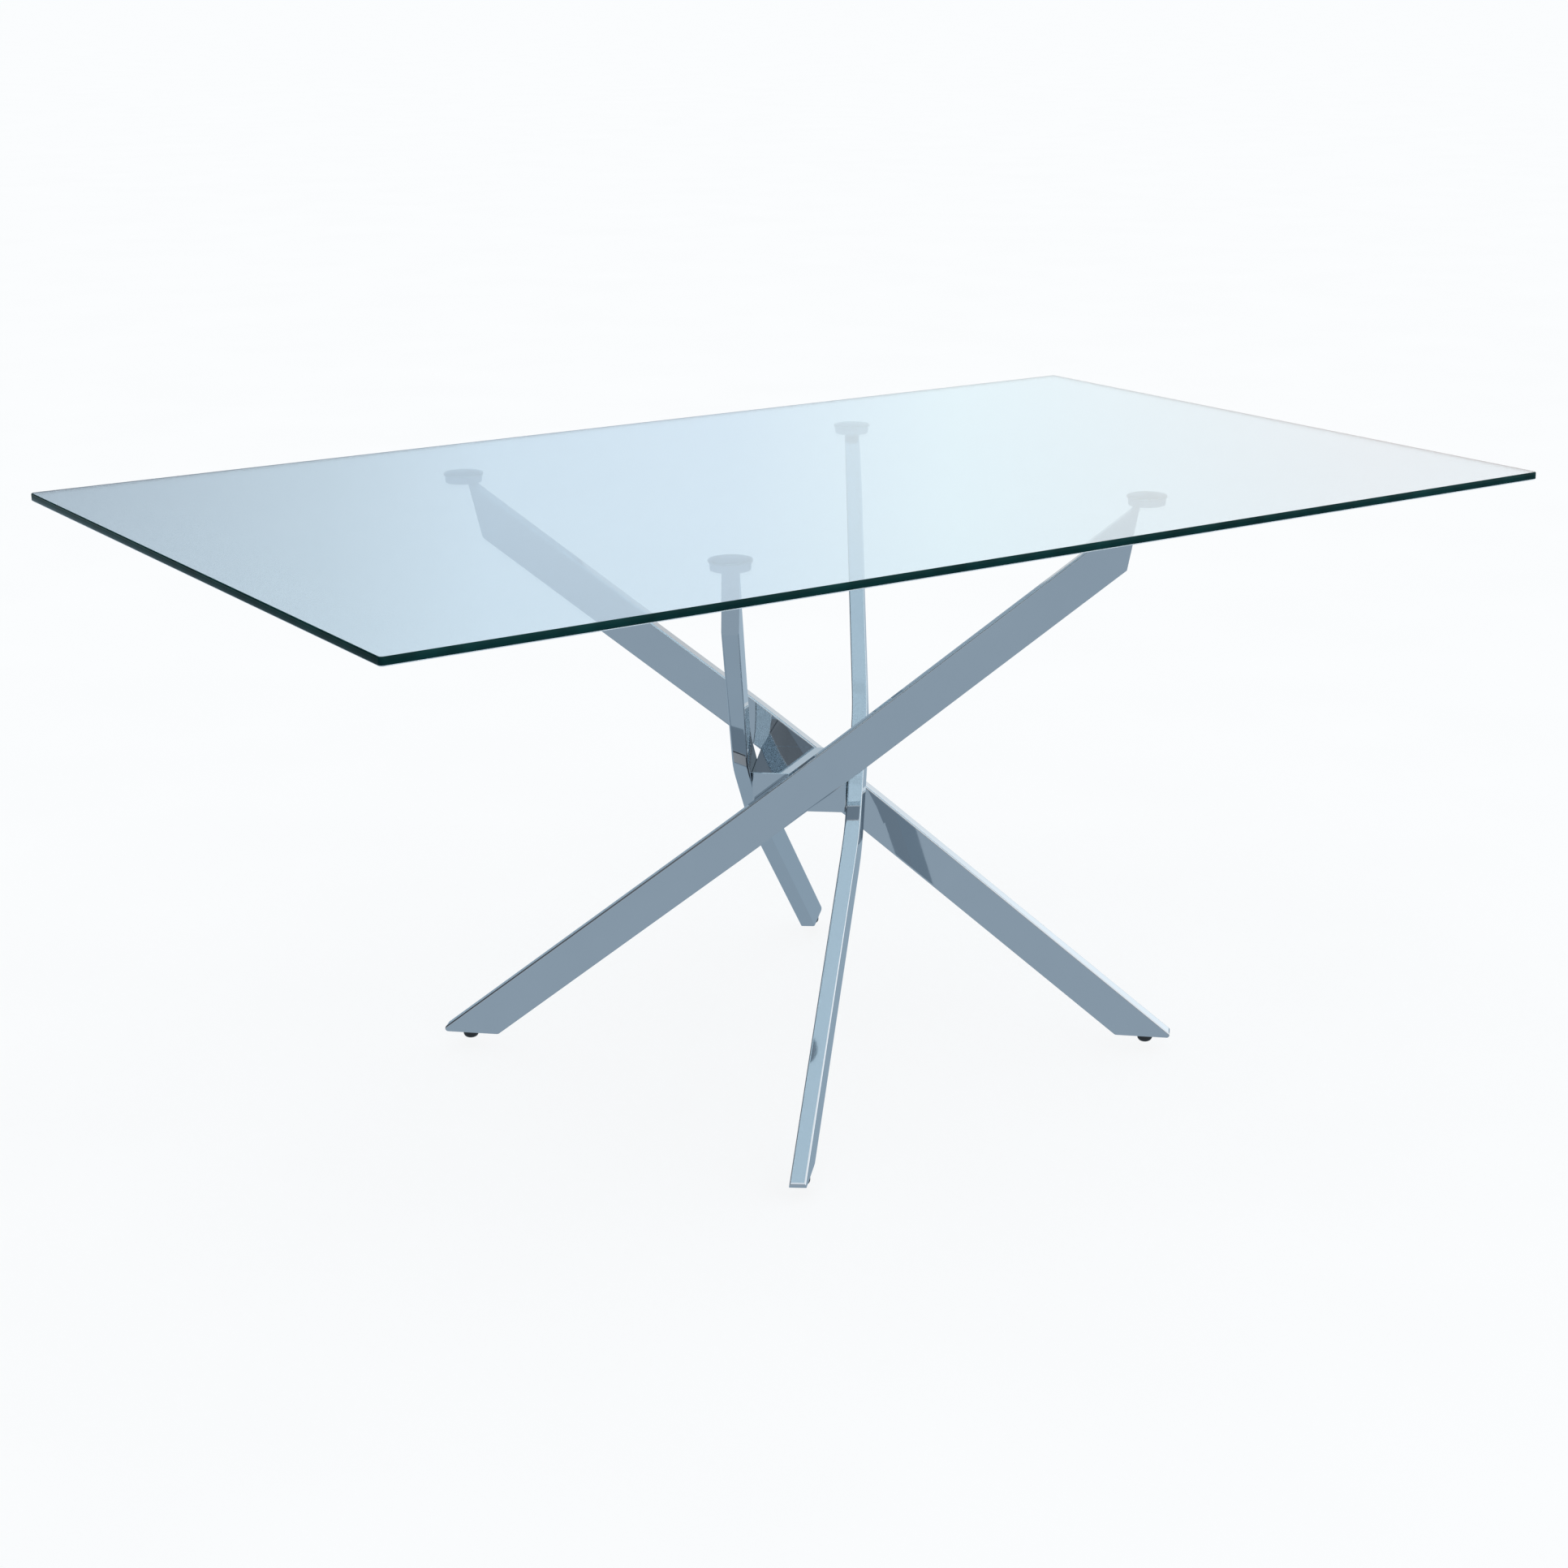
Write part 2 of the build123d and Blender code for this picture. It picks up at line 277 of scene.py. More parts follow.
@dataclass(frozen=True)
class GroundArrisHighlight(Finish):
    """The glass's ground arris on the top edge: frosted, with a painted highlight in its
    near-white colour.
    """

    # The near-white tones are a painted highlight along the sheet's top edge.
    tone: str = "#ffffff"
    deep_tone: str = "#eef7fa"
    grit: float = 1.5 * MM
    gloss: Span = (0.3, 0.5)

    def make(self) -> Any:
        """Build the material: grinding marks in colour and gloss, over a near-white painted
        highlight.
        """
        material, tree, place = self.start()
        marks = add_node(tree, "ShaderNodeTexNoise",
                         {"Vector": place, "Scale": 1 / self.grit, "Detail": 2.0})
        tint = blended(tree, marks.outputs[0], linear(self.deep_tone), linear(self.tone))
        gloss = ranged(tree, marks.outputs[0], NOISE_SPAN, self.gloss)
        shader = add_node(tree, "ShaderNodeBsdfPrincipled",
                          {"Base Color": tint, "Roughness": gloss,
                           "IOR": 1.5})
        self.end(tree, shader)
        return material


@dataclass(frozen=True)
class ClearVinyl(Finish):
    """Clear moulded soft vinyl: milky blue in its thickness, with a soft gloss."""

    tone: str = "#dfeaf0"
    deep_tone: str = "#cfdfe8"
    grain: float = 3.0 * MM

    def make(self) -> Any:
        """Build the material: milky clouds and a fine moulded skin."""
        material, tree, place = self.start()
        clouds = add_node(tree, "ShaderNodeTexNoise",
                          {"Vector": place, "Scale": 1 / self.grain, "Detail": 2.0})
        tint = blended(tree, clouds.outputs[0], linear(self.deep_tone), linear(self.tone))
        bump = add_node(tree, "ShaderNodeBump",
                        {"Height": clouds.outputs[0], "Strength": 0.1, "Distance": BUMP_HEIGHT})
        shader = add_node(tree, "ShaderNodeBsdfPrincipled",
                          {"Base Color": tint, "Roughness": 0.18, "IOR": 1.48,
                           "Transmission Weight": 0.7, "Normal": bump.outputs[0]})
        self.end(tree, shader)
        return material


@dataclass(frozen=True)
class MouldedNylon(Finish):
    """Black moulded nylon: a fine spark-eroded grain that keeps it matt."""

    tone: str = "#090a0b"
    light_tone: str = "#15171a"
    grain: float = 0.8 * MM
    gloss: Span = (0.42, 0.58)

    def make(self) -> Any:
        """Build the material: a fine grain in colour, gloss and bump."""
        material, tree, place = self.start()
        grain = add_node(tree, "ShaderNodeTexNoise",
                         {"Vector": place, "Scale": 1 / self.grain, "Detail": 3.0})
        tint = blended(tree, grain.outputs[0], linear(self.tone), linear(self.light_tone))
        gloss = ranged(tree, grain.outputs[0], NOISE_SPAN, self.gloss)
        bump = add_node(tree, "ShaderNodeBump",
                        {"Height": grain.outputs[0], "Strength": 0.3, "Distance": BUMP_HEIGHT})
        shader = add_node(tree, "ShaderNodeBsdfPrincipled",
                          {"Base Color": tint, "Roughness": gloss,
                           "IOR": 1.53, "Normal": bump.outputs[0]})
        self.end(tree, shader)
        return material


@dataclass(frozen=True)
class ZincPlate(Finish):
    """Bright zinc plating on steel: a soft grey metal with a blue passivation cast."""

    tone: str = "#c9cdcf"
    cast: str = "#aeb9c2"
    spangle: float = 6.0 * MM
    gloss: Span = (0.25, 0.42)

    def make(self) -> Any:
        """Build the material: passivation clouds in colour and gloss."""
        material, tree, place = self.start()
        clouds = add_node(tree, "ShaderNodeTexNoise",
                          {"Vector": place, "Scale": 1 / self.spangle, "Detail": 5.0})
        tint = blended(tree, clouds.outputs[0], linear(self.cast), linear(self.tone))
        gloss = ranged(tree, clouds.outputs[0], NOISE_SPAN, self.gloss)
        shader = add_node(tree, "ShaderNodeBsdfPrincipled",
                          {"Base Color": tint, "Metallic": 1.0,
                           "Roughness": gloss})
        self.end(tree, shader)
        return material


@dataclass(frozen=True)
class OpalAcrylic(Finish):
    """Opal acrylic of a light table: glows evenly, so shadows fade, and mirrors see it greyer."""

    tone: str = "#5e6163"
    deep_tone: str = "#54585b"
    glow: float = 0.86
    mirror_tone: str = "#b0c3d2"
    mottle: float = 400.0 * MM

    def make(self) -> Any:
        """Build the material: a faint mottle, and another glow for mirrors.

        Chrome over a white floor would look nearly white itself, so a reflected ray meets a
        darker grey-blue glow instead.

        Returns:
            The material.
        """
        material, tree, place = self.start()
        mottle = add_node(tree, "ShaderNodeTexNoise", {"Vector": place, "Scale": 1 / self.mottle})
        tint = blended(tree, mottle.outputs[0], linear(self.deep_tone), linear(self.tone))
        shader = add_node(tree, "ShaderNodeBsdfPrincipled",
                          {"Base Color": tint, "Roughness": 1.0,
                           "Specular IOR Level": 0.0, "Emission Color": linear("#ffffff"),
                           "Emission Strength": self.glow})
        soft = add_node(tree, "ShaderNodeEmission", {"Color": linear(self.mirror_tone)})
        ray = add_node(tree, "ShaderNodeLightPath").outputs["Is Reflection Ray"]
        both = add_node(tree, "ShaderNodeMixShader",
                        {0: ray, 1: shader.outputs[0], 2: soft.outputs[0]})
        self.end(tree, both)
        return material


# --- making meshes with Geometry Nodes -------------------------------------


def grown(name: str, tree: Any, sizes: dict[str, Any]) -> Any:
    """Run a Geometry Nodes tree and keep its result as a plain mesh at the origin.

    Args:
        name: The new piece's name.
        tree: A tree whose result has its own materials.
        sizes: The value of each named input.

    Returns:
        The new object, with no modifier.
    """
    host = bpy.data.objects.new(name + "_host", bpy.data.meshes.new(name + "_host"))
    bpy.context.scene.collection.objects.link(host)
    modifier = host.modifiers.new("grow", "NODES")
    modifier.node_group = tree
    for item in tree.interface.items_tree:
        if item.item_type == "SOCKET" and item.in_out == "INPUT" and item.name in sizes:
            modifier[item.identifier] = sizes[item.name]
    host.update_tag()
    bpy.context.view_layer.update()
    depsgraph = bpy.context.evaluated_depsgraph_get()
    mesh = bpy.data.meshes.new_from_object(host.evaluated_get(depsgraph), depsgraph=depsgraph)
    mesh.name = name
    for index in reversed(range(len(mesh.materials))):
        if mesh.materials[index] is None:
            mesh.materials.pop(index=index)
    bpy.data.objects.remove(host)
    piece = bpy.data.objects.new(name, mesh)
    bpy.context.scene.collection.objects.link(piece)
    return piece


def new_tree(name: str, inputs: dict[str, str]) -> tuple[Any, Any, Any]:
    """Start a Geometry Nodes tree.

    Args:
        name: The tree's name.
        inputs: For each named input, its socket type.

    Returns:
        The tree, its input node and its output node.
    """
    tree = bpy.data.node_groups.new(name, "GeometryNodeTree")
    for label, kind in inputs.items():
        tree.interface.new_socket(name=label, in_out="INPUT", socket_type=kind)
    tree.interface.new_socket(name="Geometry", in_out="OUTPUT", socket_type="NodeSocketGeometry")
    return tree, add_node(tree, "NodeGroupInput"), add_node(tree, "NodeGroupOutput")


def face_outwards(piece: Any) -> None:
    """Turn every face of a closed piece outwards."""
    shape = bmesh.new()
    shape.from_mesh(piece.data)
    bmesh.ops.recalc_face_normals(shape, faces=shape.faces)
    shape.to_mesh(piece.data)
    shape.free()


def turned(name: str, outline: list[tuple[float, float]], foot: Vector, steps: int) -> Any:
    """Turn a closed half section round an upright axis.

    Args:
        name: The new piece's name.
        outline: Distance from the axis and height, starting and ending on the axis.
        foot: Where the axis stands.
        steps: How many steps go round.

    Returns:
        The new object, smooth but for its sharp edges.
    """
    angles = [i * math.tau / steps for i in range(steps)]
    rings = outline[1:-1]
    points = [(foot.x + r * math.cos(a), foot.y + r * math.sin(a), foot.z + z)
              for r, z in rings for a in angles]
    points += [(foot.x, foot.y, foot.z + outline[0][1]), (foot.x, foot.y, foot.z + outline[-1][1])]
    top, bottom = len(points) - 2, len(points) - 1
    faces = []
    for i in range(steps):
        j = (i + 1) % steps
        faces.append((top, i, j))
        for k in range(len(rings) - 1):
            faces.append((k * steps + i, (k + 1) * steps + i, (k + 1) * steps + j, k * steps + j))
        last = (len(rings) - 1) * steps
        faces.append((bottom, last + j, last + i))
    mesh = bpy.data.meshes.new(name)
    mesh.from_pydata(points, [], faces)
    piece = bpy.data.objects.new(name, mesh)
    bpy.context.scene.collection.objects.link(piece)
    face_outwards(piece)
    mesh.shade_smooth()
    mesh.set_sharp_from_angle(angle=math.radians(SHARP_ANGLE))
    return piece


# --- sub-assemblies --------------------------------------------------------


def dress(nodes: list[str], material: Any) -> None:
    """Give carried-over CAD nodes a material, set on each of their slots and linked to the object.

    Args:
        nodes: The CAD nodes' names.
        material: Their new material.
    """
    for name in nodes:
        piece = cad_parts[name]
        for holder in piece.material_slots:
            holder.link = "OBJECT"
            holder.material = material
        log.info("%s dressed as %s", name, material.name)


@dataclass
class ChromeBase:
    """The four crossing legs, their discs and the hub, all chromed."""

    finish: ChromePlate
    zinc: ZincPlate

    def dress(self) -> None:
        """Chrome what shows and zinc the fasteners inside."""
        chrome, zinc = self.finish.make(), self.zinc.make()
        shown = ["leg_tube_", "leg_end_plate_", "leg_foot_plate_", "support_disc_"]
        nodes = [kind + corner for kind in shown for corner in CORNERS]
        nodes += ["hub_shell", "hub_top_plate", "hub_bottom_cover"]
        dress(nodes, chrome)
        hidden = ["leg_thread_plate_" + corner for corner in CORNERS]
        hidden += ["leg_bolts", "leg_washers", "hub_posts", "glide_nuts"]
        dress(hidden, zinc)


@dataclass
class GlassSheet:
    """The glass top, with its dark polished edge as a face of its own."""

    glass: FloatGlass
    edge: PolishedEdge
    highlight_bevel: GroundArrisHighlight
    corner_radius: float = 5.0 * MM
    corner_steps: int = 8
    arris: float = 1.2 * MM
    weld: float = 0.1 * MM

    def tree(self) -> Any:
        """Write the rule of the sheet: an outline, an edge swept along it, two flat faces.

        Returns:
            The Geometry Nodes tree.
        """
        size, finish = "NodeSocketFloat", "NodeSocketMaterial"
        tree, given, result = new_tree("glass_sheet", {
            "Length": size, "Width": size, "Thickness": size, "Underside": size,
            "Corner Radius": size, "Arris": size, "Face Glass": finish, "Edge Glass": finish,
            "Highlit Bevel Glass": finish})
        get = given.outputs

        def outline(inset: Any) -> Any:
            """Draw the sheet's rounded outline, this far inside its edge."""
            twice = worked(tree, "MULTIPLY", inset, 2.0)
            box = add_node(tree, "GeometryNodeCurvePrimitiveQuadrilateral",
                           {"Width": worked(tree, "SUBTRACT", get["Length"], twice),
                            "Height": worked(tree, "SUBTRACT", get["Width"], twice)})
            radius = worked(tree, "SUBTRACT", get["Corner Radius"], inset)
            return add_node(tree, "GeometryNodeFilletCurve",
                            {"Curve": box.outputs[0], "Count": self.corner_steps,
                             "Radius": radius},
                            mode="POLY").outputs[0]

        def point(outwards: Any, height: Any) -> Any:
            """Give a point of the edge's section: outwards and up from the outline."""
            return add_node(tree, "ShaderNodeCombineXYZ", {"X": outwards, "Y": height}).outputs[0]

        half = worked(tree, "MULTIPLY", get["Thickness"], 0.5)
        band = worked(tree, "SUBTRACT", half, get["Arris"])
        low_half = worked(tree, "MULTIPLY", half, -1.0)
        low_band = worked(tree, "MULTIPLY", band, -1.0)
        inwards = worked(tree, "MULTIPLY", get["Arris"], -1.0)
        # The upper bevel is frosted and painted near white as a highlight; the lower one has the
        # edge's dark finish.
        section = [(point(inwards, half), point(0.0, band), get["Highlit Bevel Glass"]),
                   (point(0.0, band), point(0.0, low_band), get["Edge Glass"]),
                   (point(0.0, low_band), point(inwards, low_half), get["Edge Glass"])]
        path, shells = outline(0.0), []
        for start, stop, glass in section:
            line = add_node(tree, "GeometryNodeCurvePrimitiveLine", {"Start": start, "End": stop})
            strip = add_node(tree, "GeometryNodeCurveToMesh",
                             {"Curve": path, "Profile Curve": line.outputs[0]})
            shells.append((strip.outputs[0], glass))
        face = add_node(tree, "GeometryNodeFillCurve", {"Curve": outline(get["Arris"])},
                        mode="NGONS").outputs[0]
        for height in (half, low_half):
            lift = add_node(tree, "ShaderNodeCombineXYZ", {"Z": height}).outputs[0]
            flat = add_node(tree, "GeometryNodeTransform", {"Geometry": face, "Translation": lift})
            shells.append((flat.outputs[0], get["Face Glass"]))
        joined = add_node(tree, "GeometryNodeJoinGeometry")
        for shell, glass in shells:
            coated = add_node(tree, "GeometryNodeSetMaterial",
                              {"Geometry": shell, "Material": glass})
            tree.links.new(coated.outputs[0], joined.inputs[0])
        closed = add_node(tree, "GeometryNodeMergeByDistance",
                          {"Geometry": joined.outputs[0], "Distance": self.weld})
        centre = worked(tree, "ADD", get["Underside"], half)
        middle = add_node(tree, "ShaderNodeCombineXYZ", {"Z": centre})
        placed = add_node(tree, "GeometryNodeTransform",
                          {"Geometry": closed.outputs[0], "Translation": middle.outputs[0]})
        real = add_node(tree, "GeometryNodeRealizeInstances", {"Geometry": placed.outputs[0]})
        tree.links.new(real.outputs[0], result.inputs[0])
        return tree

    def build(self) -> Any:
        """Make the sheet where the CAD has it and let it stand for that node.

        Returns:
            The sheet.
        """
        low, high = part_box("glass_top")
        sheet = grown("glass_sheet", self.tree(), {
            "Length": high.x - low.x, "Width": high.y - low.y, "Thickness": high.z - low.z,
            "Underside": low.z, "Corner Radius": self.corner_radius, "Arris": self.arris,
            "Face Glass": self.glass.make(), "Edge Glass": self.edge.make(),
            "Highlit Bevel Glass": self.highlight_bevel.make()})
        face_outwards(sheet)
        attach(sheet, Body.TABLE.value)
        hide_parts("glass_top")
        log.info("%s: %d faces", sheet.name, len(sheet.data.polygons))
        return sheet


@dataclass
class GlassPads:
    """The four clear pads between the discs and the glass, with soft moulded edges."""

    finish: ClearVinyl
    rim_radius: float = 0.8 * MM
    spigot_radius: float = 18.0 * MM
    flange: float = 3.0 * MM
    settle: float = 0.05 * MM
    arc_step: int = 15
    steps: int = 72

    def section(self, radius: float, height: float) -> list[tuple[float, float]]:
        """Draw half of the pad's section, from its top's middle round to the spigot's.

        Args:
            radius: The flange's radius.
            height: The pad's whole height, with its spigot.

        Returns:
            Points as distance from the axis and height above the spigot's foot.
        """
        top, foot, r = height - self.settle, height - self.flange, self.rim_radius
        arc = [math.radians(a) for a in range(0, 91, self.arc_step)]
        upper = [(radius - r + r * math.sin(a), top - r + r * math.cos(a)) for a in arc]
        lower = [(radius - r + r * math.cos(a), foot + r - r * math.sin(a)) for a in arc]
        groove = [(self.spigot_radius, foot), (self.spigot_radius, 0.0)]
        return [(0.0, top), (self.spigot_radius, top), *upper, *lower, *groove, (0.0, 0.0)]

    def build(self) -> list[Any]:
        """Turn one pad for each corner on its own axis.

        Returns:
            The four pads.
        """
        material, made = self.finish.make(), []
        for corner in CORNERS:
            node = "clear_pad_" + corner
            low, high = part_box(node)
            middle = (low + high) / 2
            outline = self.section((high.x - low.x) / 2, high.z - low.z)
            pad = turned("pad_" + corner, outline, Vector((middle.x, middle.y, low.z)), self.steps)
            pad.data.materials.append(material)
            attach(pad, Body.TABLE.value)
            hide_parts(node)
            made.append(pad)
            log.info("%s: %d faces", pad.name, len(pad.data.polygons))
        return made


@dataclass
class ThreadedStuds:
    """The glides' M8 studs, with a real thread, which shows when a glide is screwed out."""

    finish: ZincPlate
    pitch: float = 1.25 * MM
    depth: float = 0.65 * MM
    plain_turns: float = 1.2
    ridge_share: float = 0.98
    ridge_sides: int = 4
    steps: int = 24

    def tree(self) -> Any:
        """Write the rule of a thread: a core, and a ridge swept along a helix round it.

        Returns:
            The Geometry Nodes tree.
        """
        size = "NodeSocketFloat"
        tree, given, result = new_tree("threaded_stud", {
            "Radius": size, "Length": size, "Pitch": size, "Depth": size,
            "Place": "NodeSocketVector", "Finish": "NodeSocketMaterial"})
        get = given.outputs

        core_radius = worked(tree, "SUBTRACT", get["Radius"], get["Depth"])
        core = add_node(tree, "GeometryNodeMeshCylinder",
                        {"Vertices": self.steps, "Radius": core_radius, "Depth": get["Length"]})
        plain = worked(tree, "MULTIPLY", get["Pitch"], self.plain_turns)
        helix_height = worked(tree, "SUBTRACT", get["Length"], plain)
        turns = worked(tree, "DIVIDE", helix_height, get["Pitch"])
        helix = add_node(tree, "GeometryNodeCurveSpiral",
                         {"Resolution": self.steps, "Rotations": turns,
                          "Start Radius": core_radius, "End Radius": core_radius,
                          "Height": helix_height})
        lowered = add_node(tree, "ShaderNodeCombineXYZ",
                           {"Z": worked(tree, "MULTIPLY", helix_height, -0.5)})
        centred = add_node(tree, "GeometryNodeTransform",
                           {"Geometry": helix.outputs[0], "Translation": lowered.outputs[0]})
        ridge_radius = worked(tree, "MULTIPLY", get["Depth"], self.ridge_share)
        ridge = add_node(tree, "GeometryNodeCurvePrimitiveCircle",
                         {"Resolution": self.ridge_sides, "Radius": ridge_radius})
        upright = add_node(tree, "GeometryNodeSetCurveNormal", {"Curve": centred.outputs[0]},
                           mode="Z_UP")
        swept = add_node(tree, "GeometryNodeCurveToMesh",
                         {"Curve": upright.outputs[0], "Profile Curve": ridge.outputs[0],
                          "Fill Caps": True})
        joined = add_node(tree, "GeometryNodeJoinGeometry")
        tree.links.new(core.outputs["Mesh"], joined.inputs[0])
        tree.links.new(swept.outputs[0], joined.inputs[0])
        placed = add_node(tree, "GeometryNodeTransform",
                          {"Geometry": joined.outputs[0], "Translation": get["Place"]})
        real = add_node(tree, "GeometryNodeRealizeInstances", {"Geometry": placed.outputs[0]})
        done = add_node(tree, "GeometryNodeSetMaterial",
                        {"Geometry": real.outputs[0], "Material": get["Finish"]})
        tree.links.new(done.outputs[0], result.inputs[0])
        return tree

    def build(self) -> list[Any]:
        """Grow one stud for each glide.

        Returns:
            The four studs.
        """
        tree, material, made = self.tree(), self.finish.make(), []
        for corner in CORNERS:
            node = "glide_stud_" + corner
            low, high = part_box(node)
            stud = grown("stud_" + corner, tree, {
                "Radius": (high.x - low.x) / 2, "Length": high.z - low.z, "Pitch": self.pitch,
                "Depth": self.depth, "Place": tuple((low + high) / 2), "Finish": material})
            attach(stud, Body.GLIDE.value + corner)
            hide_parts(node)
            made.append(stud)
            log.info("%s: %d faces", stud.name, len(stud.data.polygons))
        return made


@dataclass
class CoverScrews:
    """The four countersunk screws under the hub, each with a hexagon socket."""

    finish: ZincPlate
    head_radius: float = 4.6 * MM
    shank_radius: float = 2.5 * MM
    socket_radius: float = 1.73 * MM
    socket_depth: float = 1.6 * MM
    socket_sides: int = 6
    head_steps: int = 48
    shank_steps: int = 32

    def places(self) -> list[Vector]:
        """Find where the CAD's screws stand.

        Returns:
            The middle of each screw's flat head.
        """
        corners = [v.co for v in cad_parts["hub_cover_screws"].data.vertices]
        found = []
        # Each screw has a quarter of the plan to itself, between the two diagonals.
        for first in (1, -1):
            for second in (1, -1):
                near = [c for c in corners
                        if (c.x + c.y) * first > 0 and (c.x - c.y) * second > 0]
                low = Vector(min(c[i] for c in near) for i in range(3))
                high = Vector(max(c[i] for c in near) for i in range(3))
                found.append(Vector(((low.x + high.x) / 2, (low.y + high.y) / 2, low.z)))
        return found

    def tree(self, places: list[Vector]) -> Any:
        """Write the rule of the screws: one screw, set at each place.

        Args:
            places: Where the screws stand.

        Returns:
            The Geometry Nodes tree.
        """
        size = "NodeSocketFloat"
        tree, given, result = new_tree("cover_screws", {
            "Head Radius": size, "Shank Radius": size, "Length": size, "Socket Radius": size,
            "Socket Depth": size, "Finish": "NodeSocketMaterial"})
        get = given.outputs
        head_depth = worked(tree, "SUBTRACT", get["Head Radius"], get["Shank Radius"])
        head = add_node(tree, "GeometryNodeMeshCone",
                        {"Vertices": self.head_steps, "Radius Top": get["Shank Radius"],
                         "Radius Bottom": get["Head Radius"], "Depth": head_depth})
        twice = worked(tree, "MULTIPLY", get["Socket Depth"], 2.0)
        socket = add_node(tree, "GeometryNodeMeshCylinder",
                          {"Vertices": self.socket_sides, "Radius": get["Socket Radius"],
                           "Depth": twice})
        cut = add_node(tree, "GeometryNodeMeshBoolean",
                       {"Mesh 1": head.outputs["Mesh"], "Mesh 2": socket.outputs["Mesh"]},
                       operation="DIFFERENCE", solver="EXACT")
        shank_length = worked(tree, "SUBTRACT", get["Length"], head_depth)
        shank = add_node(tree, "GeometryNodeMeshCylinder",
                         {"Vertices": self.shank_steps, "Radius": get["Shank Radius"],
                          "Depth": shank_length})
        half = worked(tree, "MULTIPLY", shank_length, 0.5)
        middle = worked(tree, "ADD", half, head_depth)
        lift = add_node(tree, "ShaderNodeCombineXYZ", {"Z": middle})
        raised = add_node(tree, "GeometryNodeTransform",
                          {"Geometry": shank.outputs["Mesh"], "Translation": lift.outputs[0]})
        screw = add_node(tree, "GeometryNodeJoinGeometry")
        tree.links.new(cut.outputs["Mesh"], screw.inputs[0])
        tree.links.new(raised.outputs[0], screw.inputs[0])
        points = add_node(tree, "GeometryNodeJoinGeometry")
        for place in places:
            spot = add_node(tree, "GeometryNodePoints", {"Count": 1, "Position": tuple(place)})
            tree.links.new(spot.outputs[0], points.inputs[0])
        spread = add_node(tree, "GeometryNodeInstanceOnPoints",
                          {"Points": points.outputs[0], "Instance": screw.outputs[0]})
        real = add_node(tree, "GeometryNodeRealizeInstances", {"Geometry": spread.outputs[0]})
        done = add_node(tree, "GeometryNodeSetMaterial",
                        {"Geometry": real.outputs[0], "Material": get["Finish"]})
        tree.links.new(done.outputs[0], result.inputs[0])
        return tree

    def build(self) -> Any:
        """Grow the screws and let them stand for the CAD's.

        Returns:
            The screws, as one piece.
        """
        low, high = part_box("hub_cover_screws")
        screws = grown("cover_screws", self.tree(self.places()), {
            "Head Radius": self.head_radius, "Shank Radius": self.shank_radius,
            "Length": high.z - low.z, "Socket Radius": self.socket_radius,
            "Socket Depth": self.socket_depth, "Finish": self.finish.make()})
        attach(screws, Body.TABLE.value)
        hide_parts("hub_cover_screws")
        log.info("%s: %d faces", screws.name, len(screws.data.polygons))
        return screws


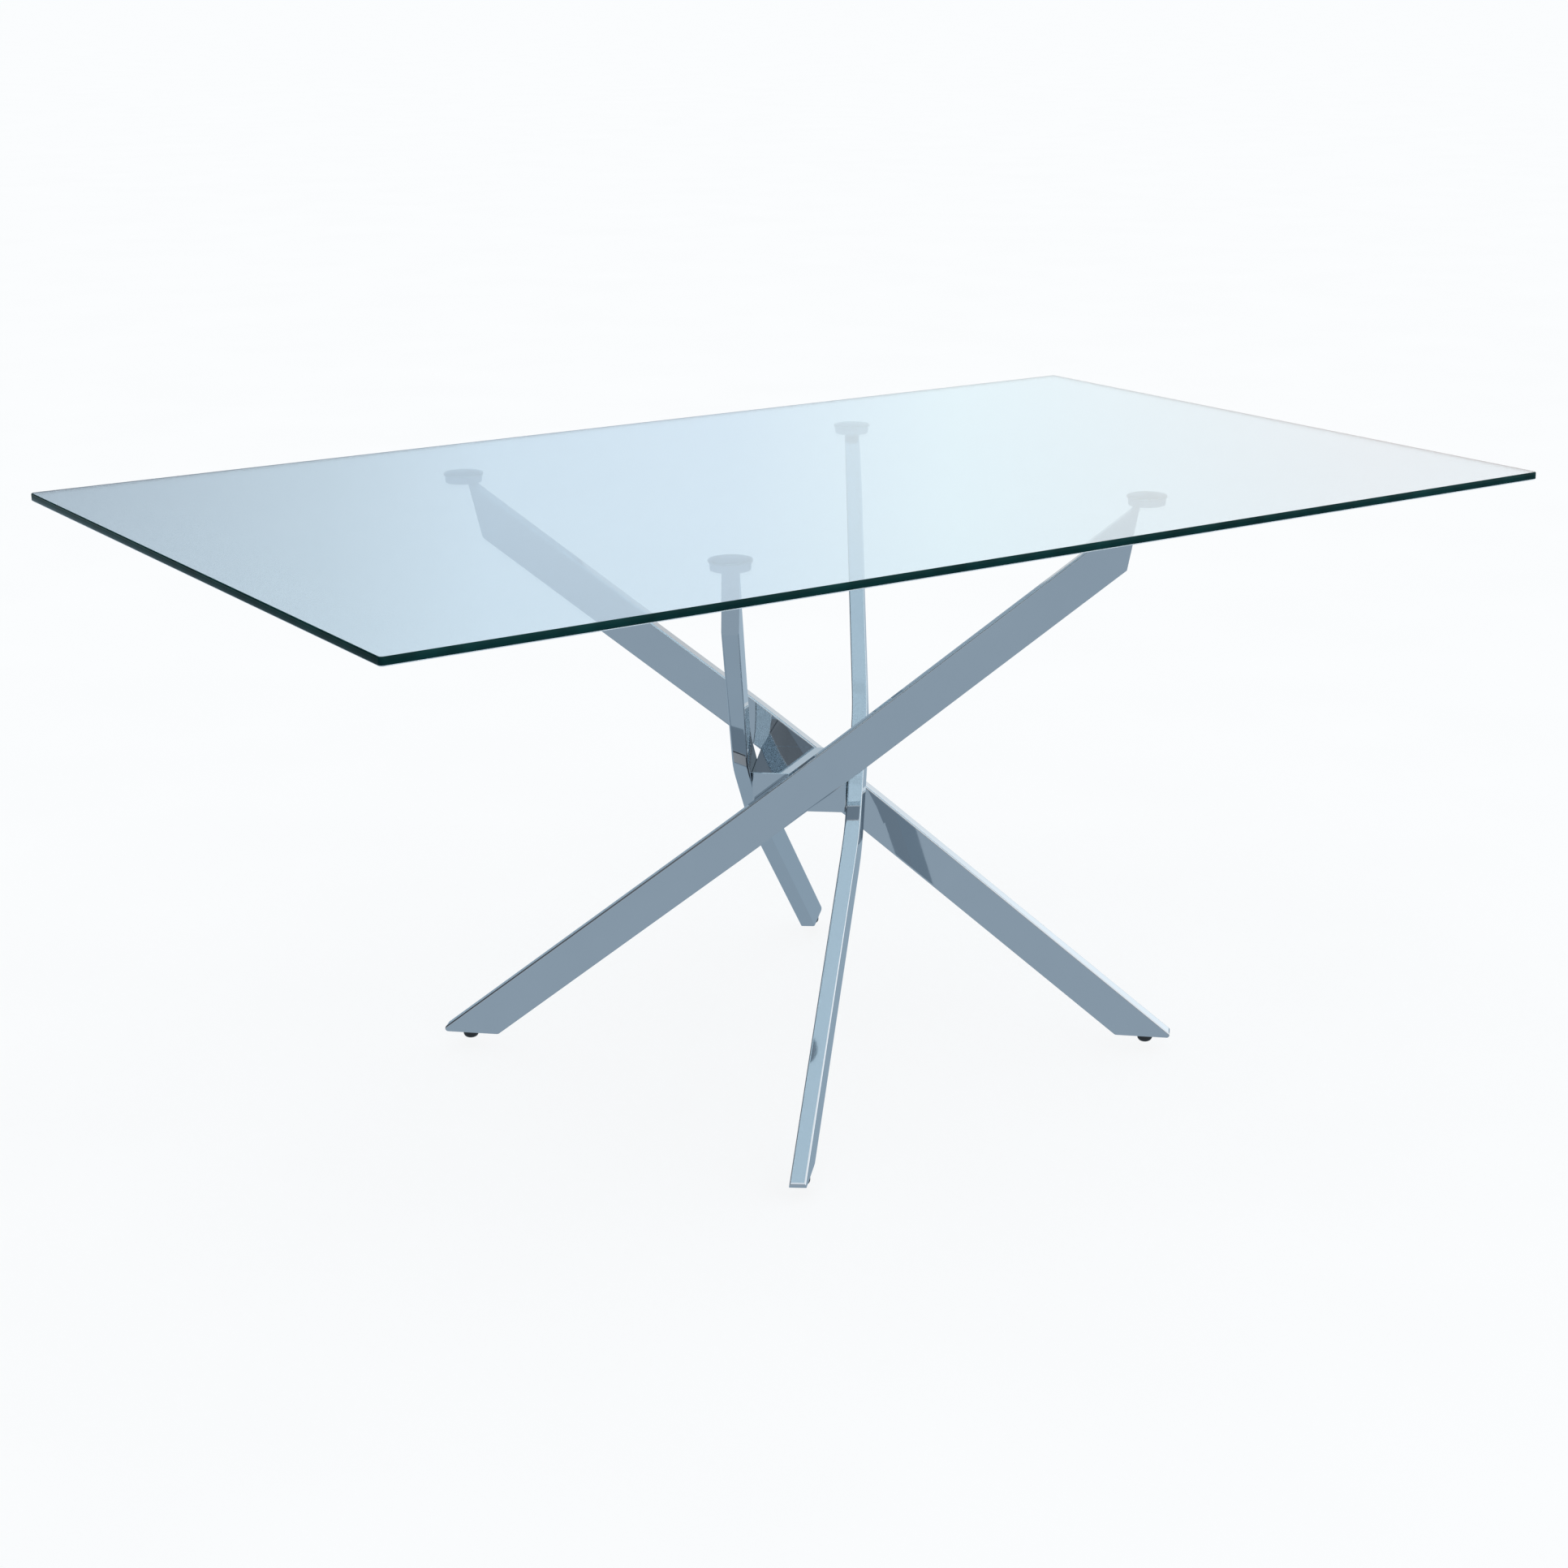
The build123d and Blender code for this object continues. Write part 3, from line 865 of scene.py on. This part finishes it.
@dataclass
class Studio:
    """A pale floor, soft light all round and the camera."""

    sheet: OpalAcrylic
    floor_sides: int = 8
    floor_reach: float = 200.0
    floor_drop: float = 10.5 * MM
    camera_place: tuple[float, float, float] = (-1.8596, -2.8727, 1.4082)
    heading: float = 36.21
    tilt: float = 16.77
    lens: float = 63.4
    sensor: float = 36.0
    shift: tuple[float, float] = (-0.1091, -0.0117)
    walls: tuple[tuple[float, RGB], ...] = (
        (0.0, (0.06, 0.08, 0.10)), (0.10, (0.16, 0.20, 0.25)), (0.20, (0.41, 0.48, 0.56)),
        (0.28, (0.56, 0.66, 0.75)), (0.335, (0.69, 0.81, 0.92)), (0.42, (0.77, 0.88, 0.98)),
        (0.50, (0.92, 1.02, 1.05)), (0.65, (0.99, 0.97, 0.97)),
        (0.78, (0.99, 0.98, 0.98)), (0.90, (1.55, 1.62, 1.66)))
    walls_span: Span = (-0.5, 0.5)
    zenith: RGBA = (1.2, 1.26, 1.31, 1.0)
    zenith_heights: Span = (0.3, 0.9)
    band: RGBA = (0.12, 0.14, 0.16, 1.0)
    band_span: Span = (0.3, 0.8)
    band_heights: Span = (0.45, 0.05)
    rim: RGBA = (0.98, 0.98, 0.98, 1.0)
    rim_heights: Span = (0.11, 0.04)
    flank: RGBA = (1.55, 1.62, 1.66, 1.0)
    flank_span: Span = (0.28, 0.4)

    def lay_floor(self) -> None:
        """Lay a wide flat floor, low enough to leave room for the glides' travel."""
        sides, reach = self.floor_sides, self.floor_reach
        corners = [(math.cos(i * math.tau / sides) * reach,
                    math.sin(i * math.tau / sides) * reach, -self.floor_drop)
                   for i in range(sides)]
        mesh = bpy.data.meshes.new("studio_floor")
        mesh.from_pydata(corners, [], [tuple(range(sides))])
        mesh.materials.append(self.sheet.make())
        floor = bpy.data.objects.new("studio_floor", mesh)
        bpy.context.scene.collection.objects.link(floor)

    def light(self) -> None:
        """Light the scene from a soft dome, in four layers.

        The walls go from dark on the camera's left to bright on its right, the dome overhead
        is bright, a dark band stands low behind the camera, and a pale rim lies along the
        horizon, which is brighter on the right flank.
        """
        world = bpy.data.worlds.new("soft_dome")
        bpy.context.scene.world = world
        world.use_nodes = True
        tree = world.node_tree
        tree.nodes.clear()
        ahead = math.radians(self.heading)
        way = add_node(tree, "ShaderNodeTexCoord").outputs["Generated"]
        across = add_node(tree, "ShaderNodeVectorMath",
                          {0: way, 1: (math.cos(ahead), -math.sin(ahead), 0.0)},
                          operation="DOT_PRODUCT")
        behind = add_node(tree, "ShaderNodeVectorMath",
                          {0: way, 1: (-math.sin(ahead), -math.cos(ahead), 0.0)},
                          operation="DOT_PRODUCT")
        height = add_node(tree, "ShaderNodeSeparateXYZ", {0: way}).outputs["Z"]
        side = ranged(tree, across.outputs["Value"], self.walls_span)
        walls = add_node(tree, "ShaderNodeValToRGB", {0: side})
        for _ in range(len(self.walls) - 2):
            walls.color_ramp.elements.new(0.5)
        for stop, (place, colour) in zip(walls.color_ramp.elements, self.walls):
            stop.position, stop.color = place, (*colour, 1.0)
        soft = {"interpolation_type": "SMOOTHSTEP"}
        up = ranged(tree, height, self.zenith_heights, **soft)
        dome = blended(tree, up, walls.outputs[0], self.zenith)
        back = ranged(tree, behind.outputs["Value"], self.band_span, **soft)
        under = ranged(tree, height, self.band_heights, **soft)
        banded = blended(tree, worked(tree, "MULTIPLY", back, under), dome, self.band)
        horizon = ranged(tree, height, self.rim_heights, **soft)
        beside = ranged(tree, across.outputs["Value"], self.flank_span, **soft)
        rim = blended(tree, beside, self.rim, self.flank)
        rimmed = blended(tree, horizon, banded, rim)
        glow = add_node(tree, "ShaderNodeBackground", {"Color": rimmed, "Strength": 1.0})
        add_node(tree, "ShaderNodeOutputWorld", {"Surface": glow.outputs[0]})

    def place_camera(self) -> None:
        """Stand the camera in front of the table's left end, a little above the top."""
        ahead, down = math.radians(self.heading), math.radians(self.tilt)
        look = Vector((math.cos(down) * math.sin(ahead), math.cos(down) * math.cos(ahead),
                       -math.sin(down)))
        right = Vector((math.cos(ahead), -math.sin(ahead), 0.0))
        up = right.cross(look)
        data = bpy.data.cameras.new("camera")
        data.sensor_width = self.sensor
        data.lens = self.lens
        data.shift_x, data.shift_y = self.shift
        camera = bpy.data.objects.new("camera", data)
        turn = Matrix((right, up, -look)).transposed().to_4x4()
        camera.matrix_world = Matrix.Translation(self.camera_place) @ turn
        bpy.context.scene.collection.objects.link(camera)
        bpy.context.scene.camera = camera
        bpy.context.scene.view_settings.view_transform = "Standard"

    def build(self) -> None:
        """Set up floor, light and camera."""
        self.lay_floor()
        self.light()
        self.place_camera()


def main() -> None:
    """Build everything in order."""
    logging.basicConfig(level=logging.INFO, format="%(message)s")
    Studio(OpalAcrylic("opal_acrylic_floor")).build()
    ChromeBase(ChromePlate("bright_chrome_plate", Slot.CHROME),
               ZincPlate("bright_zinc_plate", Slot.ZINC)).dress()
    GlassSheet(FloatGlass("clear_float_glass", Slot.GLASS),
               PolishedEdge("polished_glass_edge", Slot.GLASS),
               GroundArrisHighlight("ground_arris_painted_highlight", Slot.GLASS)).build()
    GlassPads(ClearVinyl("clear_moulded_vinyl", Slot.PAD)).build()
    ThreadedStuds(ZincPlate("zinc_plated_thread", Slot.ZINC)).build()
    CoverScrews(ZincPlate("zinc_plated_screw", Slot.ZINC)).build()
    nylon = MouldedNylon("black_moulded_nylon", Slot.PLASTIC)
    dress(["glide_" + corner for corner in CORNERS], nylon.make())


if __name__ == "__main__":
    main()
